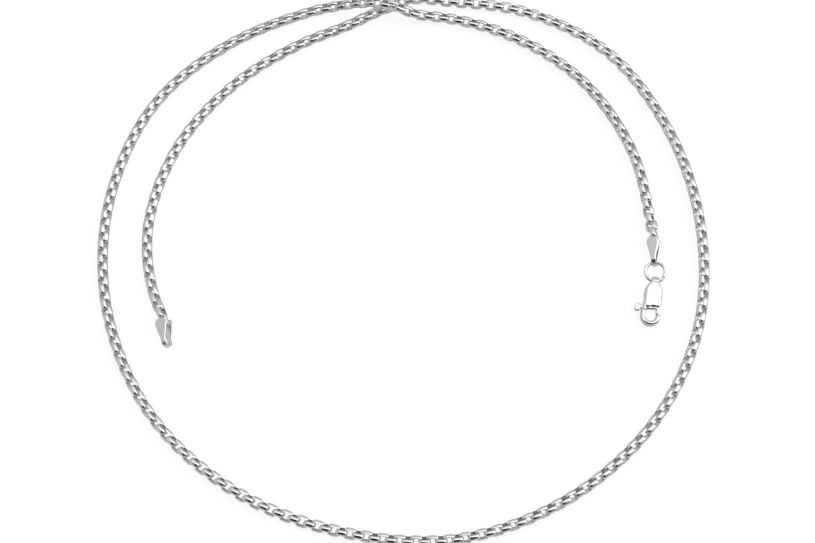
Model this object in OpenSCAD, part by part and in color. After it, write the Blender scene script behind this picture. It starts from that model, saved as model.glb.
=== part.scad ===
// Round box chain necklace in silver, unclasped and laid down on a table.
// One long chain passes once over itself. Its left end has a folded tag,
// its right end a folded tag, a jump ring and a lobster clasp.
// Millimetres, +Z up, the table is z = 0, the origin is under the middle.

/* [Chain] */
// Width of the chain across its links
chain_w = 2.1; // [1.8:0.05:2.3]
// Height of the hump where the chain passes over itself, above its own rest
hump_h = 2.3; // [2.3:0.1:3.5]
// Width of the last link, squeezed between the two leaves of a tag
last_link_w = 1.6; // [1.2:0.1:1.7]

/* [Folded tags] */
// Distance between the middles of the two leaves
leaf_apart = 2.1; // [2:0.05:2.4]
// Thickness of the sheet
sheet_t = 0.28; // [0.2:0.02:0.32]
// Length of a leaf, from its mouth to the fold
leaf_len = 3.9; // [3.8:0.05:4.3]
// Width of a leaf at its mouth
mouth_w = 1.75; // [1.4:0.05:2]
// Greatest width of a leaf
leaf_w = 2.25; // [2:0.05:2.4]
// Width of the strip that folds round the ring
neck_w = 0.87; // [0.7:0.01:1]

/* [Jump ring] */
// Outer diameter of the ring
ring_od = 4; // [3.9:0.05:4.1]
// Thickness of its wire
ring_wire = 0.56; // [0.5:0.02:0.7]
// Width of the seam between the wire's ends
seam_w = 0.06; // [0.04:0.02:0.2]

/* [Clasp] */
// Thickness of the body
clasp_t = 2; // [1.9:0.05:2.1]
// Thickness of the hook
hook_t = 1.5; // [1.2:0.1:1.6]
// Radius of the hook's round end
hook_r = 1.72; // [1.65:0.01:1.8]
// Radius of the room inside the hook
throat_r = 0.94; // [0.9:0.01:1]
// Width of the eye
eye_w = 1.25; // [1:0.05:1.3]
// Radius of the hole through the eye
eye_hole_r = 0.65; // [0.6:0.01:0.68]
// Thickness of the lever
lever_t = 0.8; // [0.6:0.05:0.9]
// Radius of the hinge pin
pin_r = 0.3; // [0.25:0.01:0.35]

/* [Hidden] */
$fn = 64;
rest_h = chain_w / 2;

// Where the two tags lie: mouth x, y and the height of the middle,
// then the way they point and how far they lean over to the left
end_tag_at = [-42.1, -10.95, 1.57];
end_tag_turn = -81;
end_tag_lean = 26;
clasp_tag_at = [44.5, 2.45, 1.5];
clasp_tag_turn = -92.6;
clasp_tag_lean = 18;

// The ring hangs a little lower at the clasp than at the tag
ring_at = [44.4, -3.64, 1.17];
ring_tilt = 6.5;
seam_turn = -38;

// The clasp's eye is at its origin and its hook points towards -Y
clasp_at = [44.4, -4.45, 0];
clasp_turn = -10.5;
eye_r = clasp_t / 2;
hook_y = -7.45;
tip_y = -7.1;
body_end_y = -6.05;
arch_at = [0.25, -6.5];
arch_r = 0.9;
arm_end_y = -6.55;
pivot = [0.95, -5.1];
lever_run = 0.04;

// Route of the chain along its middle, from the left tag to the right one:
// x, y, height above rest
route = [
    [-41.9, -12.2, 0.52], [-42.2, -10.6, 0.52], [-43.5, -7.5, 0.1],
    [-45.5, 4, 0], [-41, 21, 0], [-30, 34.5, 0], [-18.5, 42, 0],
    [-9, 46, 0], [-3, 48.9, 0], [3, 51, 0], [9, 50.4, 0], [23, 48, 0],
    [37.5, 40, 0], [48.5, 23.5, 0], [53, 5, 0], [51, -15, 0],
    [42, -31.5, 0], [27, -44, 0], [9, -50.3, 0], [-10.5, -49, 0],
    [-28.5, -42, 0], [-43.5, -28.5, 0], [-52, -9.5, 0], [-52, 14, 0],
    [-44.5, 31, 0], [-32, 42, 0], [-19.5, 47.7, 0],
    [-13, 49.5, 0], [-7.7, 49.6, 0.6 * hump_h], [-4.5, 49.2, hump_h],
    [-0.7, 48.3, hump_h], [3, 47.5, 0.35 * hump_h], [8, 47, 0],
    [19.5, 43.5, 0], [33, 34, 0], [42, 18.5, 0], [44.2, 5.5, 0.1],
    [44.5, 2.9, 0.45], [44.4, 1.3, 0.45]
];
tube_sides = 8;
ring_step = 7.2;
stops = [for (p = route) [p[0], p[1], rest_h + p[2]]];
last = len(stops) - 1;

// A smooth curve through the stops, with its slope at each stop taken from
// the parabola through the stop and its two neighbours
function hop(i) = norm(stops[i + 1] - stops[i]);
function way(i) = (stops[i + 1] - stops[i]) / hop(i);
function slope(i) =
    i == 0 ? way(0) :
    i == last ? way(last - 1) :
    (way(i - 1) * hop(i) + way(i) * hop(i - 1)) / (hop(i - 1) + hop(i));
function on_hop(i, t) =
    stops[i] * (2 * t ^ 3 - 3 * t ^ 2 + 1)
    + slope(i) * hop(i) * (t ^ 3 - 2 * t ^ 2 + t)
    + stops[i + 1] * (3 * t ^ 2 - 2 * t ^ 3)
    + slope(i + 1) * hop(i) * (t ^ 3 - t ^ 2);
function steps(i) = ceil(hop(i) / ring_step);
function kept_up(p) = [p[0], p[1], max(p[2], rest_h)];
middles = [
    for (i = [0 : last - 1]) for (j = [0 : steps(i) - 1])
        kept_up(on_hop(i, j / steps(i))),
    stops[last]
];
rings = len(middles);
function unit(v) = v / norm(v);
function ahead(k) =
    unit(middles[min(k + 1, rings - 1)] - middles[max(k - 1, 0)]);
function tube_r(k) = (k < 2 || k > rings - 3 ? last_link_w : chain_w) / 2;
function ring_points(k) =
    let (
        go = ahead(k),
        side = unit(cross(go, [0, 0, 1])),
        up = cross(side, go),
        r = tube_r(k) / cos(180 / tube_sides)
    )
    [for (s = [0 : tube_sides - 1])
        let (a = (s + 0.5) * 360 / tube_sides)
        middles[k] + r * cos(a) * side + r * sin(a) * up];

module chain() {
    points = [for (k = [0 : rings - 1]) each ring_points(k)];
    walls = [
        for (k = [0 : rings - 2]) for (s = [0 : tube_sides - 1])
            let (
                n = (s + 1) % tube_sides,
                a = k * tube_sides + s,
                b = k * tube_sides + n
            )
            each [[a, b, a + tube_sides], [b, b + tube_sides, a + tube_sides]]
    ];
    ends = [
        [for (s = [tube_sides - 1 : -1 : 0]) s],
        [for (s = [0 : tube_sides - 1]) (rings - 1) * tube_sides + s]
    ];
    color("silver") polyhedron(points, concat(walls, ends));
}

// One leaf is widest a quarter of the way down and tapers to the neck
module leaf_outline() {
    wide_at = 0.95;
    neck_at = leaf_len - 0.35;
    polygon([
        [0, -mouth_w / 2], [wide_at - 0.3, -leaf_w / 2 + 0.06],
        [wide_at, -leaf_w / 2], [wide_at + 0.3, -leaf_w / 2 + 0.06],
        [neck_at, -neck_w / 2], [leaf_len, -neck_w / 2],
        [leaf_len, neck_w / 2], [neck_at, neck_w / 2],
        [wide_at + 0.3, leaf_w / 2 - 0.06], [wide_at, leaf_w / 2],
        [wide_at - 0.3, leaf_w / 2 - 0.06], [0, mouth_w / 2]
    ]);
}

// Two leaves and the strip between them, bent round to make an eye
module folded_tag() {
    for (side = [-1, 1])
        translate([0, 0, side * leaf_apart / 2 - sheet_t / 2])
            linear_extrude(sheet_t) leaf_outline();
    translate([leaf_len, 0, 0]) rotate([90, 0, 0])
        rotate_extrude(angle = 180, start = -90)
            translate([(leaf_apart - sheet_t) / 2, -neck_w / 2])
                square([sheet_t, neck_w]);
}

module end_tag() {
    color("silver") translate(end_tag_at)
        rotate([0, 0, end_tag_turn]) rotate([end_tag_lean, 0, 0])
            folded_tag();
}

module clasp_tag() {
    color("silver") translate(clasp_tag_at)
        rotate([0, 0, clasp_tag_turn]) rotate([clasp_tag_lean, 0, 0])
            folded_tag();
}

// A round wire bent to a ring, with a narrow seam at its lower right
module jump_ring() {
    mid_r = (ring_od - ring_wire) / 2;
    seam_angle = seam_w / mid_r * 180 / PI;
    color("silver") translate(ring_at) rotate([ring_tilt, 0, 0])
        rotate_extrude(angle = 360 - seam_angle, start = seam_turn + seam_angle / 2)
            translate([mid_r, 0]) circle(ring_wire / 2);
}

module in_clasp_frame() {
    translate(clasp_at) rotate([0, 0, clasp_turn]) children();
}

// Outline of the body with its shoulders, down to the level of its throat.
// Its lower edge is arched over the throat and straight on the right
module body_outline() {
    difference() {
        polygon([
            [-eye_w / 2, -1.1], [-1.3, -2.05], [-1.52, -2.5], [-1.6, -3.2],
            [-1.63, -4.5], [-hook_r, arm_end_y - 0.1],
            [-throat_r, arm_end_y - 0.1],
            [-throat_r, body_end_y], [1.6, body_end_y], [1.6, -3.2],
            [1.52, -2.5], [1.3, -2.05], [eye_w / 2, -1.1]
        ]);
        translate(arch_at) circle(arch_r);
        translate([arch_at[0], arch_at[1] - arch_r]) square([3, 2 * arch_r]);
    }
}

// The hook's bar runs down the left side and round the end to its tip
module hook_outline() {
    difference() {
        union() {
            translate([0, hook_y]) circle(hook_r);
            translate([-hook_r, hook_y])
                square([hook_r - throat_r, arm_end_y - hook_y]);
            translate([throat_r, hook_y])
                square([hook_r - throat_r, tip_y - hook_y]);
        }
        translate([0, hook_y]) circle(throat_r);
        translate([-throat_r, hook_y]) square([2 * throat_r, 3]);
        translate([0, tip_y]) square([3, 3]);
    }
}

// Room for the lever, in the middle of the body's thickness, open at the
// left for the thumb piece and at the bottom for the gate
module lever_room() {
    room_t = lever_t + 0.12;
    translate([0, 0, (clasp_t - room_t) / 2]) linear_extrude(room_t)
        polygon([
            [-3, -3.85], [1.2, -3.85], [1.2, -4.45], [3, -4.45],
            [3, -6.4], [-3, -6.4]
        ]);
}

module clasp_body() {
    color("silver") in_clasp_frame() difference() {
        union() {
            translate([-eye_w / 2, -eye_r, eye_r]) rotate([0, 90, 0])
                cylinder(h = eye_w, r = eye_r);
            linear_extrude(clasp_t) body_outline();
            translate([0, 0, (clasp_t - hook_t) / 2])
                linear_extrude(hook_t) hook_outline();
        }
        translate([-3, -eye_r, eye_r]) rotate([0, 90, 0])
            cylinder(h = 6, r = eye_hole_r);
        lever_room();
        translate([pivot[0], pivot[1], -1]) cylinder(h = 4, r = pin_r + 0.01);
    }
}

// A gate that closes the mouth, a hub on the pin, and a tail that crosses
// the body to the thumb piece on its left
module clasp_lever() {
    gate_x = [0.9, 1.45];
    gate_end_y = tip_y + 0.1;
    color("silver") in_clasp_frame()
        translate([0, 0, (clasp_t - lever_t) / 2]) difference() {
            linear_extrude(lever_t) {
                translate(pivot) circle(0.55);
                polygon([
                    [gate_x[0] - 0.2, pivot[1] - 0.2], [gate_x[0], gate_end_y],
                    [gate_x[1], gate_end_y], [gate_x[1], pivot[1]]
                ]);
                polygon([
                    [0.9, -4.7], [-2.1, -5.6], [-2.1, -6.3], [-0.9, -6.25],
                    [0.85, -6]
                ]);
                polygon([
                    [-1.95, -5.55], [-2.3, -5.4], [-2.75, -5.5], [-2.95, -5.85],
                    [-2.95, -6.35], [-2.75, -6.65], [-2.4, -6.75],
                    [-1.95, -6.5]
                ]);
            }
            translate([pivot[0], pivot[1], -1])
                cylinder(h = 3, r = pin_r + lever_run);
        }
}

module clasp_pin() {
    color("silver") in_clasp_frame()
        translate([pivot[0], pivot[1], 0.02])
            cylinder(h = clasp_t - 0.04, r = pin_r);
}

chain();
end_tag();
clasp_tag();
jump_ring();
clasp_body();
clasp_lever();
clasp_pin();
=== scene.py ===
"""A round box chain necklace in silver, unclasped and laid down on a white table."""

import math

import bpy
import numpy as np
from mathutils import Matrix


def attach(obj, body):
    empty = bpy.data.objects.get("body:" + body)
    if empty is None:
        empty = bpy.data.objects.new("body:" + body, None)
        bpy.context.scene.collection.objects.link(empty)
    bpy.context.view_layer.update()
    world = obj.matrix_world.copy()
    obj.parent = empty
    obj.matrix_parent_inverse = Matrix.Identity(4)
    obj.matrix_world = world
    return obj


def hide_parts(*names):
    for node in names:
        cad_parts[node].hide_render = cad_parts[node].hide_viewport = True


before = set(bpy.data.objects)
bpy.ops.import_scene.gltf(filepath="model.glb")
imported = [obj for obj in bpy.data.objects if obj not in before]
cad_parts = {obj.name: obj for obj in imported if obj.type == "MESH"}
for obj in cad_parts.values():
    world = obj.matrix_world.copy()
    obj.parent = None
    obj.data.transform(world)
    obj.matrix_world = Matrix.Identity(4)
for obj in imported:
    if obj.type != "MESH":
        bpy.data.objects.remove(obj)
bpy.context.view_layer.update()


# Chain. A run of square links of domed silver strip, each turned a quarter from the
# last, closed through its neighbour and soldered. It is laid down by hand in a wide curve,
# slack in places and a little twisted, and passes over itself at the top.
MM = 0.001
chain_w = 2.1 * MM
rest_h = chain_w / 2
# x, y and height above rest, from the left tag to the right one
route = MM * np.array(
    [
        [-41.9, -12.2, 0.52], [-42.2, -10.6, 0.52], [-43.5, -7.5, 0.1],
        [-45.5, 4, 0], [-41, 21, 0], [-30, 34.5, 0], [-18.5, 42, 0],
        [-9, 46, 0], [-3, 48.9, 0], [3, 51, 0], [9, 50.4, 0], [23, 48, 0],
        [37.5, 40, 0], [48.5, 23.5, 0], [53, 5, 0], [51, -15, 0],
        [42, -31.5, 0], [27, -44, 0], [9, -50.3, 0], [-10.5, -49, 0],
        [-28.5, -42, 0], [-43.5, -28.5, 0], [-52, -9.5, 0], [-52, 14, 0],
        [-44.5, 31, 0], [-32, 42, 0], [-19.5, 47.7, 0],
        [-13, 49.5, 0], [-7.7, 49.6, 1.38], [-4.5, 49.2, 2.3],
        [-0.7, 48.3, 2.3], [3, 47.5, 0.8], [8, 47, 0],
        [19.5, 43.5, 0], [33, 34, 0], [42, 18.5, 0], [44.2, 5.5, 0.1],
        [44.5, 2.9, 0.45], [44.4, 1.3, 0.45],
    ]
)


def lie_along(stops, samples):
    """A cubic between each two stops. Its slope at a stop is that of the parabola through the
    stop and its two neighbours."""
    hops = np.linalg.norm(np.diff(stops, axis=0), axis=1)[:, None]
    ways = np.diff(stops, axis=0) / hops
    inner = (ways[:-1] * hops[1:] + ways[1:] * hops[:-1]) / (hops[:-1] + hops[1:])
    slopes = np.vstack([ways[:1], inner, ways[-1:]])
    t = np.linspace(0, 1, samples, endpoint=False)[None, :, None]
    start, end = stops[:-1, None], stops[1:, None]
    leave, arrive = (slopes[:-1] * hops)[:, None], (slopes[1:] * hops)[:, None]
    cubic = (
        start * (2 * t**3 - 3 * t**2 + 1)
        + leave * (t**3 - 2 * t**2 + t)
        + end * (3 * t**2 - 2 * t**3)
        + arrive * (t**3 - t**2)
    )
    return np.vstack([cubic.reshape(-1, 3), stops[-1:]])


def link_shape():
    """A domed section is carried round a square loop whose sides bow outwards."""
    half_depth = 0.53 * MM
    # A quarter of the loop from side to end, in millimetres: outer x and z, inner x and z
    quarter = MM * np.array(
        [
            [0.30, 1.07, 0.30, 0.65],
            [0.62, 1.03, 0.55, 0.64],
            [0.88, 0.92, 0.72, 0.60],
            [1.05, 0.68, 0.73, 0.42],
        ]
    )
    signs = np.array([[1, 1], [1, -1], [-1, -1], [-1, 1]])
    loop = np.vstack(
        [
            (quarter if sx * sz > 0 else quarter[::-1]) * np.array([sx, sz, sx, sz])
            for sx, sz in signs
        ]
    )
    outer, inner = loop[:, None, :2], loop[:, None, 2:]
    # Across the strip: share of its thickness, and place across its depth
    across = np.array([[0.0, -1.0], [0.5, -0.88], [1.0, 0.0], [0.5, 0.88], [0.0, 1.0]])
    xz = inner + (outer - inner) * across[None, :, :1]
    y = np.broadcast_to(half_depth * across[None, :, 1:2], xz.shape[:2] + (1,))
    verts = np.concatenate([xz[..., :1], y, xz[..., 1:]], axis=2)
    stations, width = verts.shape[:2]
    i, j = np.meshgrid(np.arange(stations), np.arange(width), indexing="ij")
    here, ahead = i * width, (i + 1) % stations * width
    next_j = (j + 1) % width
    faces = np.stack([here + j, ahead + j, ahead + next_j, here + next_j], axis=2).reshape(-1, 4)
    # The flat inner side of the strip is the recess, which the material darkens with painted shade
    recess_shade = (j == width - 1).astype(float).reshape(-1)
    return verts.reshape(-1, 3), faces, recess_shade


def lean_of_links(run):
    """How far the depth of the even links is turned from upright to the right, in a straight
    line from place to place. Below zero it is turned to the left."""
    # Millimetres along the chain, degrees
    places = np.array(
        [
            [0, -26], [6, -40], [50, -38], [80, -28], [94, -50], [105, -48], [117, -38], [129, -44],
            [153, -24], [166, -36], [200, -38], [227, -40], [239, -32], [251, -36], [276, -22],
            [300, -28], [330, -34], [360, -34], [385, -26], [398, -26], [422, -40], [447, -44],
            [459, -34], [471, -22], [487, -72],
        ]
    )
    return np.radians(np.interp(run / MM, places[:, 0], places[:, 1]))


def slack_of_links(run):
    """How far forward of its even place a link lies, in a straight line from place to place,
    as the run isn't pulled tight everywhere."""
    # Millimetres along the chain, millimetres forward
    places = np.array(
        [
            [0, 0.2], [8, 0.45], [45, 0.35], [70, 0.25], [80, 0.05], [92, 0], [117, -0.2],
            [129, -0.4], [153, 0.4], [166, 0.5], [178, 0.45], [202, 0.2], [227, 0.05], [251, -0.15],
            [300, -0.15], [360, -0.3], [398, -0.25], [410, 0], [420, 0.3], [447, 0.2], [459, -0.1],
            [487, 0],
        ]
    )
    return MM * np.interp(run / MM, places[:, 0], places[:, 1])


def lay_links():
    """Each link is set on the curve at its own distance, along its direction, and turned about it."""
    first_link = 0.95 * MM
    link_count = 348
    end_link_size = 0.8
    samples_per_stop = 60
    # A link's direction is taken from this far behind it to this far ahead
    reach = 0.7 * MM
    curve = lie_along(route + [0, 0, rest_h], samples_per_stop)
    curve[:, 2] = np.maximum(curve[:, 2], rest_h)
    run = np.concatenate([[0], np.cumsum(np.linalg.norm(np.diff(curve, axis=0), axis=1))])
    at = np.linspace(first_link, run[-1] - first_link, link_count)
    at = at + slack_of_links(at)

    def on_curve(way):
        return np.stack([np.interp(way, run, curve[:, axis]) for axis in range(3)], axis=1)

    middle = on_curve(at)
    along = on_curve(at + reach) - on_curve(at - reach)
    along /= np.linalg.norm(along, axis=1)[:, None]
    side = np.cross(along, [0, 0, 1.0])
    side /= np.linalg.norm(side, axis=1)[:, None]
    up = np.cross(side, along)
    turn = lean_of_links(at) + np.pi / 2 * (np.arange(link_count) % 2)
    deep = np.cos(turn)[:, None] * up + np.sin(turn)[:, None] * side
    out = np.cross(along, deep)
    verts, faces, recess_shade = link_shape()
    # The two end links are squeezed between the leaves of their tags
    size = np.ones((link_count, 1, 1))
    size[[0, -1]] = end_link_size
    placed = (
        middle[:, None]
        + verts[None, :, :1] * along[:, None]
        + verts[None, :, 1:2] * size * deep[:, None]
        + verts[None, :, 2:] * size * out[:, None]
    )
    # No link goes below the table
    placed[..., 2] += np.maximum(0, -placed[..., 2].min(axis=1))[:, None]
    all_faces = faces[None] + (np.arange(link_count) * len(verts))[:, None, None]
    return placed.reshape(-1, 3), all_faces.reshape(-1, 4), np.tile(recess_shade, link_count)


def shader_graph(material):
    """The material's own node graph, emptied."""
    material.use_nodes = True
    graph = material.node_tree
    graph.nodes.clear()
    return graph


def polished_silver(name, haze, recess_shade):
    """Sterling, hazy from scratches: its roughness is the haze, wavering with fine noise. Where
    the recess attribute is 1, painted shade darkens it and it is rougher, by the given share."""
    silver = (0.95, 0.945, 0.945, 1.0)
    # A dark colour that paints shade where the recess attribute is set
    painted_shade_colour = (0.30, 0.29, 0.30, 1.0)
    waver = 0.4
    scratches_per_metre = 1800.0
    material = bpy.data.materials.new(name)
    graph = shader_graph(material)
    node = graph.nodes.new
    link = graph.links.new
    out = node("ShaderNodeOutputMaterial")
    metal = node("ShaderNodeBsdfPrincipled")
    metal.inputs["Metallic"].default_value = 1.0
    link(metal.outputs["BSDF"], out.inputs["Surface"])
    place = node("ShaderNodeTexCoord")
    scratches = node("ShaderNodeTexNoise")
    scratches.inputs["Scale"].default_value = scratches_per_metre
    scratches.inputs["Detail"].default_value = 3.0
    link(place.outputs["Object"], scratches.inputs["Vector"])
    dulling = node("ShaderNodeMapRange")
    dulling.inputs["To Min"].default_value = haze * (1 - waver)
    dulling.inputs["To Max"].default_value = haze * (1 + waver)
    link(scratches.outputs["Fac"], dulling.inputs["Value"])
    if recess_shade:
        depth = node("ShaderNodeAttribute")
        depth.attribute_name = "recess_shade"
        share = node("ShaderNodeMath")
        share.operation = "MULTIPLY"
        share.inputs[1].default_value = recess_shade
        link(depth.outputs["Fac"], share.inputs[0])
        tint = node("ShaderNodeMix")
        tint.data_type = "RGBA"
        tint.inputs["A"].default_value = silver
        tint.inputs["B"].default_value = painted_shade_colour
        link(share.outputs["Value"], tint.inputs["Factor"])
        link(tint.outputs["Result"], metal.inputs["Base Color"])
        rough = node("ShaderNodeMath")
        rough.operation = "ADD"
        link(dulling.outputs["Result"], rough.inputs[0])
        link(share.outputs["Value"], rough.inputs[1])
        link(rough.outputs["Value"], metal.inputs["Roughness"])
    else:
        metal.inputs["Base Color"].default_value = silver
        link(dulling.outputs["Result"], metal.inputs["Roughness"])
    return material


sharp_from = math.radians(50)


def solid(name, verts, faces, material):
    """A mesh object of whole arrays of corners and four sided faces, smooth but for the edges
    where two faces meet at more than the sharp angle."""
    mesh = bpy.data.meshes.new(name)
    mesh.from_pydata(verts.tolist(), [], faces.tolist())
    mesh.validate()
    mesh.polygons.foreach_set("use_smooth", np.ones(len(mesh.polygons), bool))
    mesh.set_sharp_from_angle(angle=sharp_from)
    mesh.materials.append(material)
    piece = bpy.data.objects.new(name, mesh)
    bpy.context.scene.collection.objects.link(piece)
    return piece


link_verts, link_faces, link_recess_shade = lay_links()
# The links' inner faces get a little painted shade
chain_silver = polished_silver("chain_silver", haze=0.16, recess_shade=0.08)
chain_links = solid("chain_links", link_verts, link_faces, chain_silver)
# The attribute marks the inner faces of the links for painted shade
recess_shade_mark = chain_links.data.attributes.new("recess_shade", "FLOAT", "FACE")
recess_shade_mark.data.foreach_set("value", link_recess_shade)
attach(chain_links, "necklace")
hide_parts("chain")


# Tags. Each is one piece of silver sheet, stamped to two leaves with a narrow neck, folded
# at the neck, and soldered with its leaves on both sides of the chain's last link.
leaf_apart = 2.1 * MM
sheet_t = 0.28 * MM
leaf_len = 3.9 * MM
fitting_silver = polished_silver("fitting_silver", haze=0.10, recess_shade=0.0)


def folded_sheet():
    """At each station along the bent middle line, a section as wide as the outline is there."""
    # Millimetres from the mouth, and half width of the sheet
    outline = MM * np.array(
        [
            [0.0, 0.84], [0.06, 0.89], [0.3, 0.98], [0.6, 1.06], [0.95, 1.12],
            [1.25, 1.08], [1.6, 0.98], [3.1, 0.57], [3.6, 0.45], [3.9, 0.435],
        ]
    )
    fold_r = leaf_apart / 2
    # Stations from the mouth to the fold, closest at the mouth, then round the fold
    straight = np.concatenate([[0, 0.03], np.linspace(0.1, 3.85, 36)]) * MM
    bend = np.radians(np.linspace(0, 180, 25))
    # Each row holds the middle line's x and z, and the way the sheet faces in x and z
    flat = np.zeros_like(straight)
    upper = np.stack([straight, flat + fold_r, flat, flat + 1], axis=1)
    out, up = np.sin(bend), np.cos(bend)
    round_fold = np.stack([leaf_len + fold_r * out, fold_r * up, out, up], axis=1)
    lower = (upper * [1, -1, 1, -1])[::-1]
    line = np.vstack([upper, round_fold, lower])
    reach = np.minimum(line[:, 0], leaf_len)
    half_w = np.interp(reach, outline[:, 0], outline[:, 1])[:, None]
    # The section runs over the top, down one bevelled edge, back underneath and up the other
    edge = 0.06 * MM
    across = 7
    inner_w = (half_w - edge) * np.linspace(-1, 1, across)[None]
    y = np.hstack([inner_w, half_w, half_w, inner_w[:, ::-1], -half_w, -half_w])
    high = sheet_t / 2
    one_side = [high] * across + [high - edge, edge - high]
    off_line = np.array([one_side + [-t for t in one_side]])
    x = line[:, :1] + off_line * line[:, 2:3]
    z = line[:, 1:2] + off_line * line[:, 3:]
    return np.stack([x, y, z], axis=2)


def sweep(loops):
    """Squares between each two loops. The first and last loop are closed by a row of squares."""
    stations, width = loops.shape[:2]
    i, j = np.meshgrid(np.arange(stations - 1), np.arange(width), indexing="ij")
    here, ahead = i * width, (i + 1) * width
    next_j = (j + 1) % width
    walls = np.stack([here + j, here + next_j, ahead + next_j, ahead + j], axis=2)
    first = np.arange(width // 2 - 1)
    last = width - 1 - first
    cap = np.stack([first, last, last - 1, first + 1], axis=1)
    return np.vstack([walls.reshape(-1, 4), cap, cap[:, ::-1] + (stations - 1) * width])


def set_down(points, at, turn, lean=0.0):
    """Leaned about the piece's own x, turned about the upright, and moved by millimetres."""
    way = Matrix.Rotation(math.radians(turn), 3, "Z") @ Matrix.Rotation(math.radians(lean), 3, "X")
    return points @ np.array(way).T + np.array(at) * MM


def add_fitting(name, verts, faces, body):
    """A piece of fitting silver, set in the place of its plain solid."""
    piece = solid(name + "_silver", verts, faces, fitting_silver)
    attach(piece, body)
    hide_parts(name)


sheet = folded_sheet()
sheet_faces = sweep(sheet)
for tag, at, turn, lean in (
    ("end_tag", (-42.1, -10.95, 1.57), -81, 26),
    ("clasp_tag", (44.5, 2.45, 1.5), -92.6, 18),
):
    add_fitting(tag, set_down(sheet.reshape(-1, 3), at, turn, lean), sheet_faces, "necklace")


# Jump ring. Round silver wire bent to a ring through the tag's fold and the clasp's eye,
# with its two ends pushed together and left unsoldered.
def bent_wire():
    """A round section carried round a circle from one side of the seam to the other."""
    mid_r = 1.72 * MM
    wire_r = 0.28 * MM
    round_corners = 20
    seam = math.radians(-38)
    half_gap = 0.03 * MM / mid_r
    # Both ends are filed a little thinner over a short way
    filed = 0.05 * MM / mid_r
    filed_r = 0.82 * wire_r
    stations = 97
    start, end = seam + half_gap, seam + 2 * math.pi - half_gap
    way = np.linspace(start + filed, end - filed, stations)
    way = np.concatenate([[start], way, [end]])[:, None]
    r = np.concatenate([[filed_r], np.full(stations, wire_r), [filed_r]])[:, None]
    turn = np.linspace(0, 2 * math.pi, round_corners, endpoint=False)[None]
    out = mid_r + r * np.cos(turn)
    return np.stack([out * np.cos(way), out * np.sin(way), -r * np.sin(turn)], axis=2)


wire = bent_wire()
lying_wire = set_down(wire.reshape(-1, 3), at=(44.4, -3.64, 1.17), turn=0, lean=6.5)
add_fitting("jump_ring", lying_wire, sweep(wire), "necklace")


# Clasp body. A lobster clasp cast in silver and tumbled smooth: an eye, a flat body that is
# slotted for the lever, and a round bar that runs down the left and round to the tip.
clasp_at = (44.4, -4.45, 0.0)
clasp_turn = -10.5
clasp_t = 2.0
pivot = (0.95, -5.1)


def from_outline(x, y, corners):
    """Distance to the nearest side, negative where a ray crosses an odd number of sides."""
    nearest = np.full(x.shape, np.inf)
    inside = np.zeros(x.shape, bool)
    for (ax, ay), (bx, by) in zip(corners, corners[1:] + corners[:1]):
        ex, ey = bx - ax, by - ay
        share = np.clip(((x - ax) * ex + (y - ay) * ey) / (ex * ex + ey * ey), 0, 1)
        nearest = np.minimum(nearest, np.hypot(x - ax - share * ex, y - ay - share * ey))
        spans = (ay > y) != (by > y)
        # No ray crosses a level side, so its height only has to differ from zero
        height = ey if ey else 1.0
        inside ^= spans & (x < ax + ex * (y - ay) / height)
    return np.where(inside, -nearest, nearest)


def plate(flat, z, half_t, rounding):
    """A flat distance given a thickness, with all its edges rounded by a ball."""
    a, b = flat + rounding, np.abs(z) - half_t + rounding
    return np.minimum(np.maximum(a, b), 0) + np.hypot(np.maximum(a, 0), np.maximum(b, 0)) - rounding


def joined(a, b, blend):
    """Two shapes blended: half of a + b less the root of (a - b) squared plus blend squared."""
    return (a + b - np.sqrt((a - b) ** 2 + blend**2)) / 2


def cut(a, b, blend):
    """What is left of a without b, with the cut's edge eased."""
    return -joined(-a, b, blend)


def skin(distance, low, high, step):
    """Squares round all that has a negative distance, worked out on cells of one step from low
    to high. Each cell that the surface crosses gets one corner."""
    axes = [np.arange(a, b, step) for a, b in zip(low, high)]
    grid = np.stack(np.meshgrid(*axes, indexing="ij"), axis=-1)
    inside = distance(grid) < 0
    # How many of a cell's eight corners lie inside
    cells_x, cells_y, cells_z = (size - 1 for size in inside.shape)
    count = sum(
        inside[i : cells_x + i, j : cells_y + j, k : cells_z + k].astype(int)
        for i in (0, 1)
        for j in (0, 1)
        for k in (0, 1)
    )
    crossed = (count > 0) & (count < 8)
    number = np.full(crossed.shape, -1)
    number[crossed] = np.arange(crossed.sum())
    middle = np.array(low) + (np.argwhere(crossed) + 0.5) * step
    spots = middle.copy()
    # Each corner is drawn down the slope of the distance until it lies on the surface
    nudge = 0.02 * step
    leash = 0.6 * step
    least_steep = 0.2
    rounds = 5
    for _ in range(rounds):
        rise = [distance(spots + nudge * e) - distance(spots - nudge * e) for e in np.eye(3)]
        slope = np.stack(rise, axis=1) / (2 * nudge)
        steep = np.maximum((slope**2).sum(axis=1), least_steep)
        spots -= (distance(spots) / steep)[:, None] * slope
        spots = np.clip(spots, middle - leash, middle + leash)
    faces = []
    for axis in range(3):
        here = np.moveaxis(inside, axis, 0)
        cells = np.moveaxis(number, axis, 0)
        if axis == 1:
            here, cells = here.transpose(0, 2, 1), cells.transpose(0, 2, 1)
        before, after = here[:-1, 1:-1, 1:-1], here[1:, 1:-1, 1:-1]
        leaves = before != after
        around = [cells[:, :-1, :-1], cells[:, 1:, :-1], cells[:, 1:, 1:], cells[:, :-1, 1:]]
        squares = np.stack(around, axis=-1)[leaves]
        backwards = ~before[leaves]
        squares[backwards] = squares[backwards][:, ::-1]
        faces.append(squares)
    return spots, np.vstack(faces)


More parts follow.
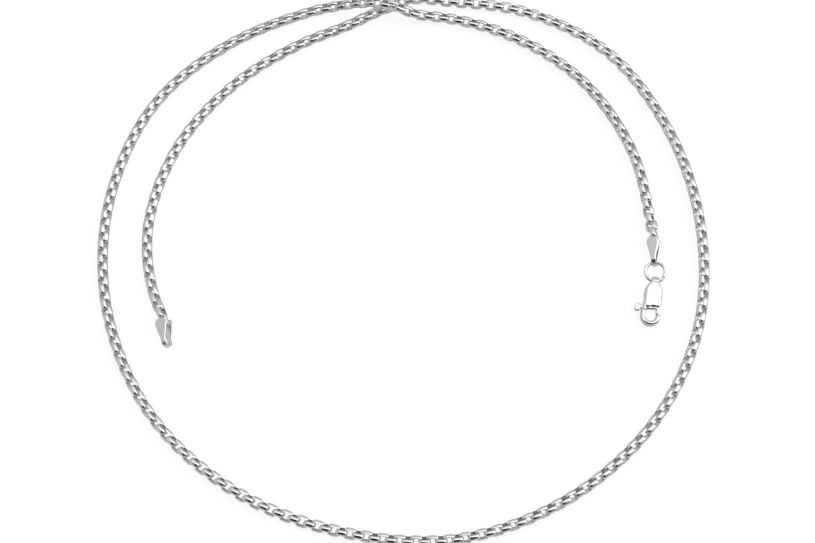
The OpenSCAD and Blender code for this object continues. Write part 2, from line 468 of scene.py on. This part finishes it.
def clasp_body(points):
    """Signed distance in millimetres, in the clasp's own frame with its eye at the top."""
    x, y, z = points[..., 0], points[..., 1], points[..., 2] - clasp_t / 2
    outline = [
        (-0.6, -1.1), (-1.3, -2.05), (-1.52, -2.5), (-1.6, -3.2), (-1.63, -4.5), (-1.72, -6.65),
        (-0.94, -6.65), (-0.94, -6.05), (1.6, -6.05), (1.6, -3.2), (1.52, -2.5), (1.3, -2.05),
        (0.6, -1.1),
    ]
    # The faces fall away towards the sides
    half_w, fall_at_side = 1.65, 0.3
    half_t = clasp_t / 2 - fall_at_side * np.abs(x / half_w) ** 3
    body = plate(from_outline(x, y, outline), z, half_t, rounding=0.4)
    # The lower edge is an arch over the throat and runs straight to the right
    arch_x, arch_y, arch_r = 0.25, -6.5, 0.9
    body = cut(body, np.hypot(x - np.clip(x, arch_x, 3.0), y - arch_y) - arch_r, blend=0.06)
    # The bar runs down the left, round under the throat and up to the tip on the right. It
    # starts inside the body, at top_y, and turns a half circle below hook_y
    hook_y, tip_y, top_y = -7.45, -7.1, -5.9
    bar_r, bar_half_w = 1.33, 0.39
    round_end = np.where(y < hook_y, np.hypot(x, y - hook_y), np.abs(x))
    bar = np.abs(round_end - bar_r) - bar_half_w
    bar = np.maximum(bar, np.where(x > 0, y - tip_y, y - top_y))
    # On the left it grows a little thicker towards the body that it runs into
    bar_half_t = 0.75 + 0.06 * np.clip(y + 7.4, 0, 1) * (x < 0)
    whole = joined(body, plate(bar, z, bar_half_t, rounding=0.36), blend=0.12)
    # The eye is a drum across the top. Its hole is cut after the blends, so that none fills it
    eye_y, eye_r, eye_half_w, eye_hole_r = -1.0, 0.93, 0.6, 0.65
    from_eye = np.hypot(y - eye_y, z)
    eye = plate(from_eye - eye_r, x, eye_half_w, rounding=0.2)
    whole = joined(whole, eye, blend=0.1)
    # The blends don't swell past the flat faces
    whole = np.maximum(whole, np.abs(z) - clasp_t / 2)
    whole = cut(whole, from_eye - eye_hole_r, blend=0.06)
    # The middle is slotted from side to side for the lever
    slot_half_t, pin_hole_r = 0.46, 0.31
    room = [(-3, -3.85), (1.2, -3.85), (1.2, -4.45), (3, -4.45), (3, -6.4), (-3, -6.4)]
    slot = plate(from_outline(x, y, room), z, slot_half_t, rounding=0.02)
    whole = cut(whole, slot, blend=0.04)
    return cut(whole, np.hypot(x - pivot[0], y - pivot[1]) - pin_hole_r, blend=0.01)


def add_clasp_piece(name, distance, low, high, step, body):
    """The skin of one piece, moved from the clasp's own frame to where the clasp lies."""
    spots, faces = skin(distance, low, high, step)
    add_fitting(name, set_down(spots * MM, clasp_at, clasp_turn), faces, body)


body_box = {"low": (-1.95, -9.4, -0.2), "high": (1.95, 0.25, 2.25)}
add_clasp_piece("clasp_body", clasp_body, **body_box, step=0.05, body="necklace")


# Clasp lever. A small cast lever that turns on the pin: a gate on the right that closes the
# hook's mouth, and a round thumb piece on the left that pulls it open against a hidden spring.
def clasp_lever(points):
    """Signed distance of the hub, the gate, the tail and the thumb piece, less the pin's hole."""
    x, y, z = points[..., 0], points[..., 1], points[..., 2] - clasp_t / 2
    from_pin = np.hypot(x - pivot[0], y - pivot[1])
    gate = from_outline(x, y, [(0.75, -5.3), (0.9, -7.0), (1.45, -7.0), (1.45, -5.1)])
    tail = from_outline(
        x, y, [(0.9, -4.7), (-2.1, -5.6), (-2.1, -6.3), (-0.9, -6.25), (0.85, -6.0)]
    )
    hub_r, hole_r, half_t, blend = 0.55, 0.34, 0.4, 0.06
    flat = joined(joined(from_pin - hub_r, gate, blend), tail, blend)
    thumb_x, thumb_r = -2.45, 0.5
    thumb = np.hypot(x - thumb_x, y - np.clip(y, -6.25, -5.9)) - thumb_r
    flat = plate(flat, z, half_t, rounding=0.2)
    thumb = plate(thumb, z, half_t, rounding=0.15)
    return cut(joined(flat, thumb, blend), from_pin - hole_r, blend=0.02)


lever_box = {"low": (-3.15, -7.25, 0.4), "high": (1.8, -4.35, 1.65)}
add_clasp_piece("clasp_lever", clasp_lever, **lever_box, step=0.05, body="lever")


# Clasp pin. A short silver rod pressed through both plates of the body and through the
# lever between them, and filed flush at both ends.
def clasp_pin(points):
    """Signed distance of a rod with eased ends."""
    pin_r, half_len, eased = 0.3, 0.95, 0.02
    x, y, z = points[..., 0], points[..., 1], points[..., 2] - clasp_t / 2
    return plate(np.hypot(x - pivot[0], y - pivot[1]) - pin_r, z, half_len, eased)


pin_box = {"low": (0.5, -5.55, -0.1), "high": (1.4, -4.65, 2.15)}
add_clasp_piece("clasp_pin", clasp_pin, **pin_box, step=0.04, body="necklace")


# Table. A plain white top that glows by itself, as a light table does, so the necklace
# throws hardly a shadow on it.
def make_table():
    """A square with its middle under the necklace, half a size to each side."""
    half = 2.0
    corners = np.array([[-half, -half, 0], [half, -half, 0], [half, half, 0], [-half, half, 0]])
    material = bpy.data.materials.new("white_table")
    graph = shader_graph(material)
    out = graph.nodes.new("ShaderNodeOutputMaterial")
    # Seen directly it glows white. The silver mirrors it as matt white, with its soft shade
    glowing = graph.nodes.new("ShaderNodeAddShader")
    glow = graph.nodes.new("ShaderNodeEmission")
    glow.inputs["Strength"].default_value = 0.85
    faint = graph.nodes.new("ShaderNodeBsdfDiffuse")
    faint.inputs["Color"].default_value = (0.3, 0.3, 0.3, 1)
    graph.links.new(glow.outputs["Emission"], glowing.inputs[0])
    graph.links.new(faint.outputs["BSDF"], glowing.inputs[1])
    matt = graph.nodes.new("ShaderNodeBsdfDiffuse")
    matt.inputs["Color"].default_value = (1.0, 1.0, 1.0, 1)
    which = graph.nodes.new("ShaderNodeMixShader")
    seen = graph.nodes.new("ShaderNodeLightPath")
    graph.links.new(seen.outputs["Is Camera Ray"], which.inputs[0])
    graph.links.new(matt.outputs["BSDF"], which.inputs[1])
    graph.links.new(glowing.outputs["Shader"], which.inputs[2])
    graph.links.new(which.outputs["Shader"], out.inputs["Surface"])
    table = solid("table", corners, np.array([[0, 1, 2, 3]]), material)


make_table()


# Studio light. A bright room, dimmer to the left and the back and dark to the front, with
# the dark of the camera and its stand overhead. The silver mirrors it.
def light_the_room():
    """The least of three eased ramps over a direction's x and y, times one that rises from
    nothing to full round the dark ellipse."""
    bright, dim_left, dim_back, dark_front = 1.5, 0.53, 0.5, 0.15
    # The dark overhead is an ellipse, in the direction's x and y
    overhead_x, overhead_y, half_w, half_h = -0.10, -0.42, 0.45, 0.42
    dark_up_to, full_from = 0.75, 1.3
    world = bpy.data.worlds.new("studio")
    bpy.context.scene.world = world
    world.use_nodes = True
    graph = world.node_tree
    graph.nodes.clear()
    node = graph.nodes.new
    link = graph.links.new
    out = node("ShaderNodeOutputWorld")
    sky = node("ShaderNodeBackground")
    link(sky.outputs["Background"], out.inputs["Surface"])
    place = node("ShaderNodeTexCoord")
    apart = node("ShaderNodeSeparateXYZ")
    link(place.outputs["Generated"], apart.inputs["Vector"])

    def math_node(operation, a, b=0.0):
        step = node("ShaderNodeMath")
        step.operation = operation
        for socket, value in zip(step.inputs, (a, b)):
            if isinstance(value, float):
                socket.default_value = value
            else:
                link(value, socket)
        return step.outputs["Value"]

    def ramp(value, low, high, low_value, high_value):
        step = node("ShaderNodeMapRange")
        step.interpolation_type = "SMOOTHSTEP"
        link(value, step.inputs["Value"])
        step.inputs["From Min"].default_value = low
        step.inputs["From Max"].default_value = high
        step.inputs["To Min"].default_value = low_value
        step.inputs["To Max"].default_value = high_value
        return step.outputs["Result"]

    x, y = apart.outputs["X"], apart.outputs["Y"]
    left_to_right = ramp(x, -0.5, 0.0, dim_left, bright)
    back_side = ramp(y, 0.1, 0.7, bright, dim_back)
    front_side = ramp(y, -0.65, 0.15, dark_front, bright)
    room = math_node("MINIMUM", left_to_right, math_node("MINIMUM", front_side, back_side))
    dx = math_node("DIVIDE", math_node("SUBTRACT", x, overhead_x), half_w)
    dy = math_node("DIVIDE", math_node("SUBTRACT", y, overhead_y), half_h)
    squares = math_node("ADD", math_node("MULTIPLY", dx, dx), math_node("MULTIPLY", dy, dy))
    off_centre = math_node("SQRT", squares)
    overhead = ramp(off_centre, dark_up_to, full_from, 0.0, 1.0)
    link(math_node("MULTIPLY", room, overhead), sky.inputs["Color"])
    sky.inputs["Strength"].default_value = 1.0


light_the_room()
bpy.context.scene.view_settings.view_transform = "Standard"


# Camera. It looks down on the necklace from the front, from a third of a metre away,
# and it is turned a little about its own axis.
def make_camera():
    """It stands at its distance and elevation from the aim point. The lens is the focal length
    in pixels, over the picture's width in pixels, times the sensor's width."""
    aim = (0.0007, -0.0023, 0.0)
    distance = 0.3238
    elevation = math.radians(70.96)
    roll = math.radians(-1.03)
    picture_width_px = 815
    focal_px = 1827
    data = bpy.data.cameras.new("camera")
    data.sensor_fit = "HORIZONTAL"
    data.sensor_width = 36.0
    data.lens = focal_px / picture_width_px * data.sensor_width
    data.clip_start = 0.005
    data.clip_end = 20.0
    camera = bpy.data.objects.new("camera", data)
    place = Matrix.Translation(
        (aim[0], aim[1] - distance * math.cos(elevation), distance * math.sin(elevation))
    )
    tilt = Matrix.Rotation(math.pi / 2 - elevation, 4, "X")
    camera.matrix_world = place @ tilt @ Matrix.Rotation(roll, 4, "Z")
    bpy.context.scene.collection.objects.link(camera)
    bpy.context.scene.camera = camera


make_camera()
